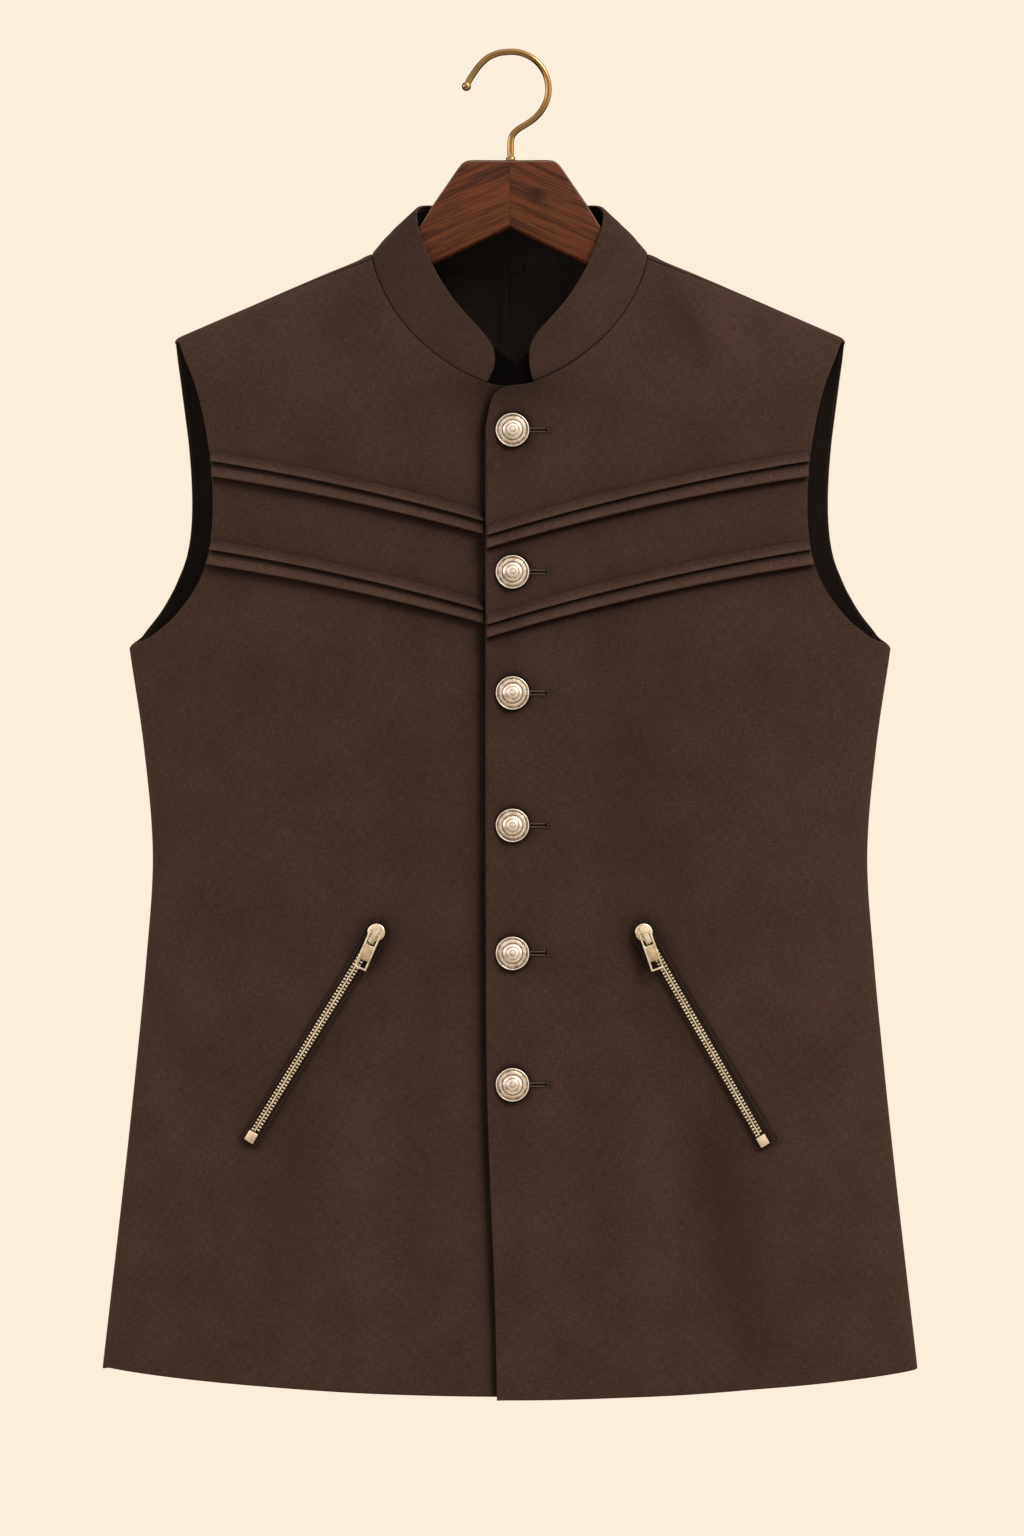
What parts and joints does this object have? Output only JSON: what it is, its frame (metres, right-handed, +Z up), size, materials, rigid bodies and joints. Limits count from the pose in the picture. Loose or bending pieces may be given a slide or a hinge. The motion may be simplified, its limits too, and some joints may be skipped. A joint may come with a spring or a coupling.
{
  "type": "nehru jacket on a wooden hanger",
  "caption": "Sleeveless stand-collar jacket with chevron tucks, slanted zip pockets and domed metal buttons, hanging on a wooden hanger with a brass hook.",
  "frame": {"origin": "the seat inside the crown of the hanger's hook, where a closet rail carries it; the jacket hangs below", "axes": "+Z up along the hanging jacket, the fronts and buttons facing -Y, the wearer's left front towards +X"},
  "size_m": [0.538, 0.0855, 0.886],
  "materials": {
    "suiting": "matt dark brown slubbed suiting, fused, plain weave",
    "lining": "black satin lining with a faint sheen",
    "zip_tape": "dark brown woven zip tape",
    "zip_metal": "pale light-gold plated, polished with worn satin faces",
    "button_metal": "antiqued pale silver, rubbed bright on its high places",
    "wood": "dark reddish-brown stain under satin lacquer",
    "brass": "antique brass, polished where it turns"
  },
  "bodies": {
    "jacket": {"front_left": "suiting", "front_right": "suiting", "back": "suiting", "collar": "suiting", "hanger_loop": "suiting", "tuck_left_upper_a": "suiting", "tuck_left_upper_b": "suiting", "tuck_left_lower_a": "suiting", "tuck_left_lower_b": "suiting", "tuck_right_upper_a": "suiting", "tuck_right_upper_b": "suiting", "tuck_right_lower_a": "suiting", "tuck_right_lower_b": "suiting", "zip_welt_left": "suiting", "zip_welt_right": "suiting", "lining_front_left": "lining", "lining_front_right": "lining", "lining_back": "lining", "collar_facing": "lining", "neck_facing": "lining", "zip_tape_left": "zip_tape", "zip_tape_right": "zip_tape", "zip_chain_left": "zip_metal", "zip_chain_right": "zip_metal", "zip_stop_left": "zip_metal", "zip_stop_right": "zip_metal", "zip_slider_left": "zip_metal", "zip_slider_right": "zip_metal", "button_1": "button_metal", "button_2": "button_metal", "button_3": "button_metal", "button_4": "button_metal", "button_5": "button_metal", "button_6": "button_metal", "hanger_left": "wood", "hanger_right": "wood", "hook": "brass", "hook_ferrule": "brass"},
    "pull_left": {"zip_pull_left": "zip_metal"},
    "pull_right": {"zip_pull_right": "zip_metal"}
  },
  "joints": [
    {"name": "pull_left_swing", "type": "hinge", "parent": "jacket", "child": "pull_left", "pos_m": [0.08791, -0.04118, -0.57871], "axis": [-0.9252, -0.0647, -0.3738], "range_deg": [0, 160]},
    {"name": "pull_right_swing", "type": "hinge", "parent": "jacket", "child": "pull_right", "pos_m": [-0.08791, -0.04118, -0.57871], "axis": [-0.9252, 0.0647, 0.3738], "range_deg": [0, 160]}
  ]
}
